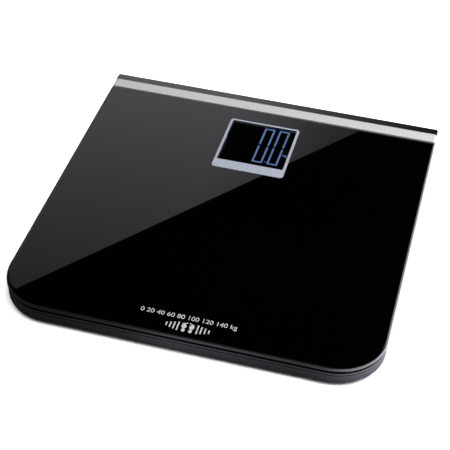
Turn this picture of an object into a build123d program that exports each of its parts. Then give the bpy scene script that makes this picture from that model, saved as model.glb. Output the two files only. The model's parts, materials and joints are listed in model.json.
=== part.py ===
from build123d import *
import math
import os

# A glass-platform digital bathroom scale, in millimetres.
# X runs across the scale, +Y runs to its rear edge and +Z up. The origin is the middle of the
# footprint, on the floor that the scale stands on.
os.makedirs("parts", exist_ok=True)


# ---------------------------------------------------------------- driving dimensions
WIDTH = 303.5
DEPTH = 311.0
HEIGHT = 21.0
FRONT_RADIUS = 40.0
REAR_RADIUS = 2.5
HALF_W = WIDTH / 2
HALF_D = DEPTH / 2
GAP = 0.3                           # running and assembly clearance between pieces

# Levels, from the floor up
BASE_BOTTOM = 3.0                   # underside of the base cover
BASE_FLOOR = 5.0                    # inside face of the base cover's floor
BASE_RIM = 11.4                     # top of the base cover's side wall
TONGUE_TOP = 12.4                   # locating tongue inside the groove
FLANGE_BOTTOM = 11.8                # lower edge of the tray's skirt
PLATE_BOTTOM = 12.8                 # underside of the tray's plate
FLANGE_TOP = 14.0
TRAY_TOP = 15.0
FILM_BOTTOM = 15.7
GLASS_BOTTOM = 16.0

# Insets of the stacked outlines from the edge of the glass
SKIRT_INSET = 0.6
WALL = 2.2
BASE_ROUND = 2.0                    # lower edge of the base cover
TONGUE_INSET = 2.2
TONGUE = 1.2
NECK_INSET = 3.0
FILM_INSET = 1.5
TAPE_W = 12.0                       # foam tape under the film

# Top surface, front to rear: glass, silver strip, rear nose
GLASS_REAR = 134.9
STRIP_FRONT = 135.1
STRIP_REAR = 146.5
NOSE_FRONT = 146.7
STRIP_Y = (STRIP_FRONT + STRIP_REAR) / 2
STRIP_D = STRIP_REAR - STRIP_FRONT
EDGE_ROUND = 3.0                    # pencil-ground upper edge of the glass
NOSE_ROUND = 1.8
GLASS_LOWER_ROUND = 1.2
TRIM_ROUND = 0.3                    # long edges of the silver strip

# Display
BEZEL_W = 63.6
BEZEL_D = 70.9
BEZEL_Y = 82.2
BEZEL_RADIUS = 3.0
WINDOW_W = 59.0
WINDOW_D = 57.8
WINDOW_Y = 86.6
LEDGE = 0.8                         # the lens rests on this much of the bezel all round
LENS = 1.6
LENS_BOTTOM = HEIGHT - LENS
BEZEL_ROUND = 0.25
LCD_BOTTOM = 17.4
LCD_TOP = 19.2
LCD_W = 56.6
LCD_D = 55.4
GUIDE_BOTTOM = 14.4
GUIDE_D = 46.6
LED_BAR = 2.3
HOLDER_W = 59.4
HOLDER_D = 56.4
PEG_PITCH = 54.0                    # pegs that locate the holder on the board
BOARD_TOP = 10.6
BOARD_BOTTOM = 9.0
BOARD_W = 82.0
BOARD_D = 62.0
BOARD_SCREW_X = 37.0
BOARD_SCREW_Y = 26.0
ZEBRA_Y = 25.3
ZEBRA_W = 50.0
ZEBRA = 2.0

# Load cells and feet
FOOT_X = 112.0
FOOT_Y = 117.0
FOOT_HOLE = 37.0
FOOT_D = 31.0
FOOT_PAD_D = 28.0
FOOT_RIM = 1.4                      # lower edge of the foot, above the pad's tread
FOOT_TOP = 4.0
PAD_TOP = 2.0
CELL = 34.0
CELL_BOTTOM = 6.0
CELL_TOP = 8.0
POCKET = 2.6                        # height of the corners that locate a load cell
SLOT_W = 24.0                       # U-shaped slot in the load cell, and the tongue inside it
TONGUE_W = 19.0
TONGUE_L = 23.0
PIN_D = 3.4
PIN_LENGTH = 2.9
FOOT_PLACES = {
    "front_left": (-1, -1),
    "front_right": (1, -1),
    "rear_left": (-1, 1),
    "rear_right": (1, 1),
}

# Batteries: three AAA cells side by side along X
BATTERY_Y = -40.0
AAA_D = 10.5
AAA_LENGTH = 44.5
AAA_PITCH = 11.2
AAA_Z = 9.6
BAY_L = 52.0
BAY_W = 36.0
BAY_WALL = 1.4
BAY_ROOF = 14.9
BAY_TOP = 15.6
CONTACT = 0.4
BUMP = 1.2
DOOR = 1.2
HOOK_X = 16.0
HOOK_W = 6.0

# Unit button, on the underside below the circuit board
BUTTON_X = -22.0
BUTTON_Y = 66.0
BUTTON_D = 7.0
BUTTON_HEAD = BASE_BOTTOM + 0.3     # pressed face of the button, just inside the base
BUTTON_DISH = 7.5

# Fasteners: (x, y) of each screw
SCREW_SEAT = BASE_BOTTOM + 3.2      # floor of the counterbores for the cover screws
COVER_SCREWS = [(sx * 136, sy * 45) for sx in (-1, 1) for sy in (-1, 1)]
COVER_SCREWS += [(sx * 55, sy * 140) for sx in (-1, 1) for sy in (-1, 1)]
BOARD_SCREWS = [
    (sx * BOARD_SCREW_X, WINDOW_Y + sy * BOARD_SCREW_Y) for sx in (-1, 1) for sy in (-1, 1)
]
STRIP_SCREWS = [(x, STRIP_Y) for x in (-125, -90, 0, 90, 125)]
NOSE_SCREWS = [(x, 149.0) for x in (-130, -30, 30, 130)]

RIB_PITCH = 50.0
BASE_RIB = 1.2
BASE_RIB_H = 2.0
TRAY_RIB = 1.6
TRAY_RIB_H = 3.2
WIRE = 0.9
WIRE_STEP = 1.3
WIRE_Z = 8.5


# ---------------------------------------------------------------- shared profiles and helpers
def outline(inset, rear=HALF_D, rear_radius=REAR_RADIUS):
    """Footprint of the scale, drawn in from its edge: round front corners, nearly square rear."""
    x = HALF_W - inset
    front = inset - HALF_D
    back = min(rear, HALF_D - inset)
    small = max(rear_radius - inset, 0.4)
    big = FRONT_RADIUS - inset
    with BuildSketch(Plane.XY, mode=Mode.PRIVATE) as plan:
        with BuildLine():
            FilletPolyline(
                (-x, front), (x, front), (x, back), (-x, back), radius=[big, big, small, small], close=True
            )
        make_face()
    return plan.sketch


def rib_grid(thickness, inset, rear):
    """Crossed stiffening ribs at one pitch, kept inside the outline."""
    with BuildSketch(Plane.XY, mode=Mode.PRIVATE) as ribs:
        with GridLocations(RIB_PITCH, 0, 5, 1):
            Rectangle(thickness, DEPTH)
        with GridLocations(0, RIB_PITCH, 1, 5):
            Rectangle(WIDTH, thickness)
        add(outline(inset, rear), mode=Mode.INTERSECT)
    return ribs.sketch


def screws(points, seat, head_d, head_h, shank_d, shank_l):
    """Pan-head screws driven upwards from below, their heads bearing on z = seat."""
    with BuildPart(mode=Mode.PRIVATE) as screw:
        with BuildSketch(Plane.XY.offset(-head_h)):
            Circle(head_d / 2)
        extrude(amount=head_h)
        fillet(screw.edges().filter_by(GeomType.CIRCLE).sort_by(Axis.Z)[0], head_h * 0.35)
        with BuildSketch(Plane.XY.offset(-head_h)):
            Rectangle(head_d * 0.6, head_d * 0.14)
            Rectangle(head_d * 0.14, head_d * 0.6)
        extrude(amount=head_h * 0.5, mode=Mode.SUBTRACT)
        with BuildSketch(Plane.XY):
            Circle(shank_d / 2)
        extrude(amount=shank_l)
        chamfer(screw.faces().sort_by(Axis.Z)[-1].edges(), shank_d * 0.3)
    return [screw.part.moved(Location((x, y, seat))) for x, y in points]


def arc_radii(points, share=0.45):
    """Radius at each corner of a route: as large as its two runs allow."""
    corners = [Vector(*p) for p in points]
    radii = []
    for before, corner, after in zip(corners, corners[1:], corners[2:]):
        run_in = corner - before
        run_out = after - corner
        half_turn = math.radians(run_in.get_angle(run_out)) / 2
        radii.append(share * min(run_in.length, run_out.length) / math.tan(half_turn))
    return radii


def wire(points):
    """Round insulated wire along straight runs joined by tangent arcs."""
    with BuildPart(mode=Mode.PRIVATE) as strand:
        with BuildLine() as route:
            FilletPolyline(*points, radius=arc_radii(points))
        with BuildSketch(Plane(origin=route.line @ 0, z_dir=route.line % 0)):
            Circle(WIRE / 2)
        sweep(path=route.line)
    return strand.part


# ---------------------------------------------------------------- base cover
BAY_FRONT = BATTERY_Y - BAY_W / 2
BAY_REAR = BATTERY_Y + BAY_W / 2

with BuildPart() as base_cover:
    with BuildSketch(Plane.XY.offset(BASE_BOTTOM)):
        add(outline(SKIRT_INSET))
    extrude(amount=BASE_RIM - BASE_BOTTOM)
    fillet(base_cover.faces().sort_by(Axis.Z)[0].edges(), BASE_ROUND)
    with BuildSketch(Plane.XY.offset(BASE_FLOOR)):
        add(outline(SKIRT_INSET + WALL))
    extrude(amount=BASE_RIM - BASE_FLOOR, mode=Mode.SUBTRACT)
    # Locating tongue that stands in the groove below the tray's skirt
    with BuildSketch(Plane.XY.offset(BASE_RIM - WALL)):
        add(outline(TONGUE_INSET))
        add(outline(TONGUE_INSET + TONGUE), mode=Mode.SUBTRACT)
    extrude(amount=TONGUE_TOP - BASE_RIM + WALL)
    # Stiffening ribs, clear of the load cells and the circuit board
    with BuildSketch(Plane.XY.offset(BASE_FLOOR)):
        add(rib_grid(BASE_RIB, SKIRT_INSET + WALL - 0.2, HALF_D))
    extrude(amount=BASE_RIB_H)
    with BuildSketch(Plane.XY.offset(BASE_FLOOR)):
        with GridLocations(2 * FOOT_X, 2 * FOOT_Y, 2, 2):
            Rectangle(CELL + 8, CELL + 8)
        with Locations((0, WINDOW_Y)):
            Rectangle(BOARD_W + 6, BOARD_D + 6)
    extrude(amount=BASE_RIB_H, mode=Mode.SUBTRACT)
    # Corner pockets that locate the four load cells
    with BuildSketch(Plane.XY.offset(BASE_FLOOR)):
        with GridLocations(2 * FOOT_X, 2 * FOOT_Y, 2, 2):
            Rectangle(CELL + 4.4, CELL + 4.4)
            Rectangle(CELL + 0.8, CELL + 0.8, mode=Mode.SUBTRACT)
            Rectangle(CELL + 8, 16, mode=Mode.SUBTRACT)
            Rectangle(16, CELL + 8, mode=Mode.SUBTRACT)
    extrude(amount=POCKET)
    # Screw posts
    with BuildSketch(Plane.XY.offset(BASE_FLOOR)):
        with Locations(*COVER_SCREWS):
            Circle(4.5)
    extrude(amount=4.2)
    with BuildSketch(Plane.XY.offset(BASE_BOTTOM)):
        with Locations(*COVER_SCREWS):
            Circle(3.1)
    extrude(amount=SCREW_SEAT - BASE_BOTTOM, mode=Mode.SUBTRACT)
    with BuildSketch(Plane.XY.offset(BASE_BOTTOM)):
        with Locations(*COVER_SCREWS):
            Circle(1.5)
    extrude(amount=BASE_RIM - BASE_BOTTOM, mode=Mode.SUBTRACT)
    # Openings for the feet
    with BuildSketch(Plane.XY.offset(BASE_BOTTOM)):
        with GridLocations(2 * FOOT_X, 2 * FOOT_Y, 2, 2):
            Circle(FOOT_HOLE / 2)
    extrude(amount=BASE_FLOOR - BASE_BOTTOM, mode=Mode.SUBTRACT)
    # Battery bay: a box with a roof, open to the underside
    with BuildSketch(Plane.XY.offset(BASE_BOTTOM)):
        with Locations((0, BATTERY_Y)):
            Rectangle(BAY_L + 2 * BAY_WALL, BAY_W + 2 * BAY_WALL)
    extrude(amount=BAY_TOP - BASE_BOTTOM)
    with BuildSketch(Plane.XY.offset(BASE_BOTTOM)):
        with Locations((0, BATTERY_Y)):
            Rectangle(BAY_L, BAY_W)
    extrude(amount=BAY_ROOF - BASE_BOTTOM, mode=Mode.SUBTRACT)
    # Slots for the door's two hooks, its latch and the two battery leads
    with BuildSketch(Plane.XY.offset(BASE_FLOOR)):
        with Locations((-HOOK_X, BAY_FRONT - BAY_WALL / 2), (HOOK_X, BAY_FRONT - BAY_WALL / 2)):
            Rectangle(HOOK_W + 1, BAY_WALL)
    extrude(amount=1.9, mode=Mode.SUBTRACT)
    with BuildSketch(Plane.XY.offset(BASE_FLOOR)):
        with Locations((0, BAY_REAR + BAY_WALL / 2)):
            Rectangle(11, BAY_WALL)
    extrude(amount=1.4, mode=Mode.SUBTRACT)
    bay_side = BAY_L / 2 + BAY_WALL / 2
    with Locations(*[(-s * bay_side, BATTERY_Y + s * AAA_PITCH, WIRE_Z) for s in (-1, 1)]):
        Cylinder(1.0, 2 * BAY_WALL, rotation=(0, 90, 0), mode=Mode.SUBTRACT)
    # Thumb recess beside the latch
    with BuildSketch(Plane.XY.offset(BASE_BOTTOM)):
        with Locations((0, BAY_REAR + 3.5)):
            RectangleRounded(18, 9, 3)
    extrude(amount=1.1, mode=Mode.SUBTRACT)
    # Hole for the unit button, in a shallow dished ring
    with BuildSketch(Plane.XY.offset(BASE_BOTTOM)):
        with Locations((BUTTON_X, BUTTON_Y)):
            Circle(BUTTON_DISH)
    extrude(amount=0.5, mode=Mode.SUBTRACT)
    with BuildSketch(Plane.XY.offset(BASE_BOTTOM)):
        with Locations((BUTTON_X, BUTTON_Y)):
            Circle(BUTTON_D / 2 + 0.4)
    extrude(amount=BASE_FLOOR - BASE_BOTTOM, mode=Mode.SUBTRACT)
base_cover.part.label = "base_cover"
export_step(base_cover.part, "parts/base_cover.step")


# ---------------------------------------------------------------- platform tray
with BuildPart() as platform_tray:
    with BuildSketch(Plane.XY.offset(FLANGE_BOTTOM)):
        add(outline(SKIRT_INSET))
        add(outline(TONGUE_INSET - 0.3), mode=Mode.SUBTRACT)
    extrude(amount=FLANGE_TOP - FLANGE_BOTTOM)
    with BuildSketch(Plane.XY.offset(PLATE_BOTTOM)):
        add(outline(SKIRT_INSET))
    extrude(amount=FLANGE_TOP - PLATE_BOTTOM)
    fillet(platform_tray.faces().sort_by(Axis.Z)[0].outer_wire().edges(), 0.4)
    with BuildSketch(Plane.XY.offset(FLANGE_TOP)):
        add(outline(NECK_INSET))
    extrude(amount=TRAY_TOP - FLANGE_TOP)
    # Ribs under the plate, clear of the display, the battery bay and the load cells
    with BuildSketch(Plane.XY.offset(PLATE_BOTTOM)):
        add(rib_grid(TRAY_RIB, 2 * NECK_INSET, GLASS_REAR - NECK_INSET))
        with Locations((0, WINDOW_Y)):
            Rectangle(BOARD_W + 6, BOARD_D + 6, mode=Mode.SUBTRACT)
        with Locations((0, BATTERY_Y)):
            Rectangle(BAY_L + 8, BAY_W + 8, mode=Mode.SUBTRACT)
        with GridLocations(2 * FOOT_X, 2 * FOOT_Y, 2, 2):
            Rectangle(CELL, CELL, mode=Mode.SUBTRACT)
    extrude(amount=-TRAY_RIB_H)
    # Square seats that press on the outer frames of the load cells, with a gap for the wires
    for place, (side, end) in FOOT_PLACES.items():
        with BuildSketch(Plane.XY.offset(CELL_TOP)):
            with Locations((side * FOOT_X, end * FOOT_Y)):
                Rectangle(CELL, CELL)
                Rectangle(CELL - 8, CELL - 8, mode=Mode.SUBTRACT)
            with Locations((side * FOOT_X, end * (FOOT_Y - CELL / 2))):
                Rectangle(14, 10, mode=Mode.SUBTRACT)
        extrude(amount=PLATE_BOTTOM - CELL_TOP)
    # Bosses for the cover screws and the circuit-board screws
    with BuildSketch(Plane.XY.offset(PLATE_BOTTOM)):
        with Locations(*COVER_SCREWS):
            Circle(4.0)
    extrude(amount=-3.6)
    with BuildSketch(Plane.XY.offset(PLATE_BOTTOM)):
        with Locations(*BOARD_SCREWS):
            Circle(3.0)
    extrude(amount=BOARD_TOP - PLATE_BOTTOM)
    with BuildSketch(Plane.XY.offset(FLANGE_TOP)):
        with Locations(*COVER_SCREWS):
            Circle(1.3)
    extrude(amount=-6, mode=Mode.SUBTRACT)
    with BuildSketch(Plane.XY.offset(FLANGE_TOP)):
        with Locations(*BOARD_SCREWS):
            Circle(0.95)
    extrude(amount=-6, mode=Mode.SUBTRACT)
    # Openings for the display, the battery bay and the trim screws
    with BuildSketch(Plane.XY.offset(PLATE_BOTTOM)):
        with Locations((0, WINDOW_Y)):
            Rectangle(HOLDER_W + 1, HOLDER_D + 1)
        with Locations((0, BATTERY_Y)):
            Rectangle(BAY_L + 2 * BAY_WALL + 0.8, BAY_W + 2 * BAY_WALL + 0.8)
        with Locations(*STRIP_SCREWS, *NOSE_SCREWS):
            Circle(1.2)
    extrude(amount=TRAY_TOP - PLATE_BOTTOM, mode=Mode.SUBTRACT)
platform_tray.part.label = "platform_tray"
export_step(platform_tray.part, "parts/platform_tray.step")


# ---------------------------------------------------------------- glass platform and its bonding
DISPLAY_CUT_W = BEZEL_W + 0.6
DISPLAY_CUT_D = BEZEL_D + 0.6

with BuildPart() as glass_platform:
    with BuildSketch(Plane.XY.offset(GLASS_BOTTOM)):
        add(outline(0, GLASS_REAR, 0.4))
    extrude(amount=HEIGHT - GLASS_BOTTOM)
    rims = glass_platform.edges().filter_by(lambda e: e.center().Y < GLASS_REAR - 0.5)
    fillet(rims.group_by(Axis.Z)[-1], EDGE_ROUND)
    fillet(rims.group_by(Axis.Z)[0], GLASS_LOWER_ROUND)
    with BuildSketch(Plane.XY.offset(GLASS_BOTTOM)):
        with Locations((0, BEZEL_Y)):
            RectangleRounded(DISPLAY_CUT_W, DISPLAY_CUT_D, BEZEL_RADIUS + 0.3)
    extrude(amount=HEIGHT - GLASS_BOTTOM, mode=Mode.SUBTRACT)
glass_platform.part.label = "glass_platform"
export_step(glass_platform.part, "parts/glass_platform.step")

# Printed decorative film under the glass
with BuildPart() as decor_film:
    with BuildSketch(Plane.XY.offset(FILM_BOTTOM)):
        add(outline(FILM_INSET, GLASS_REAR - 1.4))
        with Locations((0, BEZEL_Y)):
            RectangleRounded(DISPLAY_CUT_W, DISPLAY_CUT_D, BEZEL_RADIUS + 0.3, mode=Mode.SUBTRACT)
    extrude(amount=GLASS_BOTTOM - FILM_BOTTOM)
decor_film.part.label = "decor_film"
export_step(decor_film.part, "parts/decor_film.step")

# Double-sided foam tape between the film and the tray
with BuildPart() as bond_tape:
    with BuildSketch(Plane.XY.offset(TRAY_TOP)):
        with GridLocations(270, 0, 2, 1):
            Rectangle(TAPE_W, 200)
        with GridLocations(140, 0, 2, 1):
            Rectangle(TAPE_W, 200)
        with Locations((0, -142), (0, -112), (0, 0)):
            Rectangle(110, TAPE_W)
        with Locations((0, 127)):
            Rectangle(240, TAPE_W)
    extrude(amount=FILM_BOTTOM - TRAY_TOP)
bond_tape.part.label = "bond_tape"
export_step(bond_tape.part, "parts/bond_tape.step")


# ---------------------------------------------------------------- trim behind the glass
with BuildPart() as silver_trim_strip:
    with BuildSketch(Plane.XY.offset(TRAY_TOP)):
        with Locations((0, STRIP_Y)):
            Rectangle(WIDTH - 2 * NECK_INSET, STRIP_D)
    extrude(amount=GLASS_BOTTOM - TRAY_TOP)
    with BuildSketch(Plane.XY.offset(GLASS_BOTTOM)):
        with Locations((0, STRIP_Y)):
            Rectangle(WIDTH, STRIP_D)
    extrude(amount=HEIGHT - GLASS_BOTTOM)
    ends = silver_trim_strip.faces().filter_by(Axis.X).group_by(SortBy.AREA)[-1]
    fillet(ends.edges().filter_by(Axis.Y).group_by(Axis.Z)[-1], EDGE_ROUND)
    fillet(silver_trim_strip.faces().sort_by(Axis.Z)[-1].edges().filter_by(Axis.X), TRIM_ROUND)
    # Moulded hollow from below, with bosses for the screws
    with BuildSketch(Plane.XY.offset(TRAY_TOP)):
        with Locations((0, STRIP_Y)):
            Rectangle(WIDTH - 12, STRIP_D - 3.2)
        with Locations(*STRIP_SCREWS):
            Circle(2.6, mode=Mode.SUBTRACT)
    extrude(amount=4.2, mode=Mode.SUBTRACT)
    with BuildSketch(Plane.XY.offset(TRAY_TOP)):
        with Locations(*STRIP_SCREWS):
            Circle(1.1)
    extrude(amount=4.0, mode=Mode.SUBTRACT)
silver_trim_strip.part.label = "silver_trim_strip"
export_step(silver_trim_strip.part, "parts/silver_trim_strip.step")

with BuildPart() as rear_trim_nose:
    with BuildSketch(Plane.XY.offset(GLASS_BOTTOM)):
        add(outline(0))
        with Locations((0, NOSE_FRONT - DEPTH / 2)):
            Rectangle(WIDTH + 2, DEPTH, mode=Mode.SUBTRACT)
    extrude(amount=HEIGHT - GLASS_BOTTOM)
    rims = rear_trim_nose.edges().filter_by(lambda e: e.center().Y > NOSE_FRONT + 0.5)
    fillet(rims.group_by(Axis.Z)[-1], NOSE_ROUND)
    with BuildSketch(Plane.XY.offset(TRAY_TOP)):
        with Locations((0, NOSE_FRONT + 1.9)):
            Rectangle(WIDTH - 2 * NECK_INSET, 3.8)
    extrude(amount=GLASS_BOTTOM - TRAY_TOP)
    with BuildSketch(Plane.XY.offset(TRAY_TOP)):
        with Locations(*NOSE_SCREWS):
            Circle(1.1)
    extrude(amount=4.0, mode=Mode.SUBTRACT)
rear_trim_nose.part.label = "rear_trim_nose"
export_step(rear_trim_nose.part, "parts/rear_trim_nose.step")

with BuildPart() as trim_screws:
    add(screws(STRIP_SCREWS + NOSE_SCREWS, PLATE_BOTTOM, head_d=4.0, head_h=1.4, shank_d=2.0, shank_l=5.8))
trim_screws.part.label = "trim_screws"
export_step(trim_screws.part, "parts/trim_screws.step")


# ---------------------------------------------------------------- display
with BuildPart() as display_bezel:
    with BuildSketch(Plane.XY.offset(TRAY_TOP)):
        with Locations((0, BEZEL_Y)):
            RectangleRounded(BEZEL_W, BEZEL_D, BEZEL_RADIUS)
    extrude(amount=HEIGHT - TRAY_TOP)
    fillet(display_bezel.faces().sort_by(Axis.Z)[-1].edges(), BEZEL_ROUND)
    with BuildSketch(Plane.XY.offset(LENS_BOTTOM)):
        with Locations((0, WINDOW_Y)):
            RectangleRounded(WINDOW_W, WINDOW_D, 1.0)
    extrude(amount=LENS, mode=Mode.SUBTRACT)
    with BuildSketch(Plane.XY.offset(TRAY_TOP)):
        with Locations((0, WINDOW_Y)):
            Rectangle(WINDOW_W - 2 * LEDGE, WINDOW_D - 2 * LEDGE)
        with Locations((0, BEZEL_Y - BEZEL_D / 2 + 5.8)):
            Rectangle(BEZEL_W - 8, 7)
    extrude(amount=LENS_BOTTOM - TRAY_TOP, mode=Mode.SUBTRACT)
display_bezel.part.label = "display_bezel"
export_step(display_bezel.part, "parts/display_bezel.step")

with BuildPart() as display_lens:
    with BuildSketch(Plane.XY.offset(LENS_BOTTOM)):
        with Locations((0, WINDOW_Y)):
            RectangleRounded(WINDOW_W - 0.2, WINDOW_D - 0.2, 0.9)
    extrude(amount=LENS)
    chamfer(display_lens.faces().sort_by(Axis.Z)[-1].edges(), 0.15)
display_lens.part.label = "display_lens"
export_step(display_lens.part, "parts/display_lens.step")

with BuildPart() as lcd_panel:
    with BuildSketch(Plane.XY.offset(LCD_BOTTOM)):
        with Locations((0, WINDOW_Y)):
            Rectangle(LCD_W, LCD_D)
    extrude(amount=LCD_TOP - LCD_BOTTOM)
lcd_panel.part.label = "lcd_panel"
export_step(lcd_panel.part, "parts/lcd_panel.step")

# Light guide, lit from its left edge by the LED bar
with BuildPart() as lcd_backlight:
    with BuildSketch(Plane.XY.offset(GUIDE_BOTTOM)):
        with Locations((LED_BAR / 2, WINDOW_Y)):
            Rectangle(LCD_W - LED_BAR - 0.2, GUIDE_D)
    extrude(amount=LCD_BOTTOM - GUIDE_BOTTOM)
lcd_backlight.part.label = "lcd_backlight"
export_step(lcd_backlight.part, "parts/lcd_backlight.step")

with BuildPart() as backlight_leds:
    bar_left = -LCD_W / 2
    with BuildSketch(Plane.XY.offset(GUIDE_BOTTOM)):
        with Locations((bar_left + 0.4, WINDOW_Y)):
            Rectangle(0.8, GUIDE_D)
    extrude(amount=2.8)
    with BuildSketch(Plane.XY.offset(GUIDE_BOTTOM + 0.6)):
        with Locations((bar_left + 1.4, WINDOW_Y)):
            with GridLocations(0, 14, 1, 3):
                Rectangle(1.4, 3.5)
    extrude(amount=1.6)
backlight_leds.part.label = "backlight_leds"
export_step(backlight_leds.part, "parts/backlight_leds.step")

# Elastomer strips that join the panel's contacts to the circuit board
with BuildPart() as zebra_connectors:
    with BuildSketch(Plane.XY.offset(BOARD_TOP)):
        with Locations((0, WINDOW_Y)):
            with GridLocations(0, 2 * ZEBRA_Y, 1, 2):
                Rectangle(ZEBRA_W, ZEBRA)
    extrude(amount=LCD_BOTTOM - BOARD_TOP)
zebra_connectors.part.label = "zebra_connectors"
export_step(zebra_connectors.part, "parts/zebra_connectors.step")

with BuildPart() as lcd_holder:
    with BuildSketch(Plane.XY.offset(BOARD_TOP)):
        with Locations((0, WINDOW_Y)):
            Rectangle(HOLDER_W, HOLDER_D)
            with GridLocations(0, 2 * ZEBRA_Y, 1, 2):
                Rectangle(ZEBRA_W + 0.8, ZEBRA + 0.6, mode=Mode.SUBTRACT)
    extrude(amount=GUIDE_BOTTOM - BOARD_TOP)
    with BuildSketch(Plane.XY.offset(BOARD_TOP)):
        with Locations((0, WINDOW_Y)):
            Rectangle(48, 40)
    extrude(amount=2.4, mode=Mode.SUBTRACT)
    with BuildSketch(Plane.XY.offset(BOARD_TOP)):
        with Locations((0, WINDOW_Y)):
            with GridLocations(PEG_PITCH, 0, 2, 1):
                Circle(1.0)
    extrude(amount=-1.4)
lcd_holder.part.label = "lcd_holder"
export_step(lcd_holder.part, "parts/lcd_holder.step")


# ---------------------------------------------------------------- circuit board
with BuildPart() as main_board:
    with BuildSketch(Plane.XY.offset(BOARD_BOTTOM)):
        with Locations((0, WINDOW_Y)):
            RectangleRounded(BOARD_W, BOARD_D, 2)
            with GridLocations(PEG_PITCH, 0, 2, 1):
                Circle(1.2, mode=Mode.SUBTRACT)
        with Locations(*BOARD_SCREWS):
            Circle(1.3, mode=Mode.SUBTRACT)
    extrude(amount=BOARD_TOP - BOARD_BOTTOM)
main_board.part.label = "main_board"
export_step(main_board.part, "parts/main_board.step")

with BuildPart() as controller_chip:
    with BuildSketch(Plane.XY.offset(BOARD_BOTTOM)):
        with Locations((8, WINDOW_Y + 4)):
            Circle(7)
    extrude(amount=-1.5)
    fillet(controller_chip.faces().sort_by(Axis.Z)[0].edges(), 1.2)
controller_chip.part.label = "controller_chip"
export_step(controller_chip.part, "parts/controller_chip.step")

with BuildPart() as board_components:
    with BuildSketch(Plane.XY.offset(BOARD_BOTTOM)):
        with Locations((24, WINDOW_Y + 14)):
            Rectangle(9, 4)
        with Locations((-8, WINDOW_Y + 17)):
            Rectangle(5, 4)
    extrude(amount=-1.7)
    with BuildSketch(Plane.XY.offset(BOARD_BOTTOM)):
        with Locations((-16, WINDOW_Y + 3)):
            with GridLocations(6, 4, 3, 4):
                Rectangle(2, 1.2)
        with Locations((20, WINDOW_Y - 12)):
            with GridLocations(5, 4, 4, 2):
                Rectangle(1.6, 0.9)
    extrude(amount=-0.6)
board_components.part.label = "board_components"
export_step(board_components.part, "parts/board_components.step")

with BuildPart() as board_screws:
    add(screws(BOARD_SCREWS, BOARD_BOTTOM, head_d=3.8, head_h=1.5, shank_d=1.7, shank_l=4.8))
board_screws.part.label = "board_screws"
export_step(board_screws.part, "parts/board_screws.step")


# ---------------------------------------------------------------- unit switch and its button
SWITCH_BOTTOM = 6.9
PLUNGER_BOTTOM = 6.2
FLANGE_Z = BASE_FLOOR + GAP

with BuildPart() as unit_switch:
    with BuildSketch(Plane.XY.offset(SWITCH_BOTTOM)):
        with Locations((BUTTON_X, BUTTON_Y)):
            RectangleRounded(6, 6, 0.5)
    extrude(amount=BOARD_BOTTOM - SWITCH_BOTTOM)
    with BuildSketch(Plane.XY.offset(SWITCH_BOTTOM)):
        with Locations((BUTTON_X, BUTTON_Y)):
            Circle(2.1)
    extrude(amount=1.5, mode=Mode.SUBTRACT)
unit_switch.part.label = "unit_switch"
export_step(unit_switch.part, "parts/unit_switch.step")

with BuildPart() as unit_switch_plunger:
    with BuildSketch(Plane.XY.offset(PLUNGER_BOTTOM)):
        with Locations((BUTTON_X, BUTTON_Y)):
            Circle(1.7)
    extrude(amount=1.5)
unit_switch_plunger.part.label = "unit_switch_plunger"
export_step(unit_switch_plunger.part, "parts/unit_switch_plunger.step")

with BuildPart() as unit_button:
    with BuildSketch(Plane.XY.offset(BUTTON_HEAD)):
        with Locations((BUTTON_X, BUTTON_Y)):
            Circle(BUTTON_D / 2)
    extrude(amount=FLANGE_Z - BUTTON_HEAD)
    fillet(unit_button.faces().sort_by(Axis.Z)[0].edges(), 0.8)
    with BuildSketch(Plane.XY.offset(FLANGE_Z)):
        with Locations((BUTTON_X, BUTTON_Y)):
            Circle(5)
    extrude(amount=PLUNGER_BOTTOM - FLANGE_Z)
unit_button.part.label = "unit_button"
export_step(unit_button.part, "parts/unit_button.step")


# ---------------------------------------------------------------- load cells and feet
GAUGE_Y = 10.5                      # centre of the bridge that the gauge is bonded to

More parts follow.
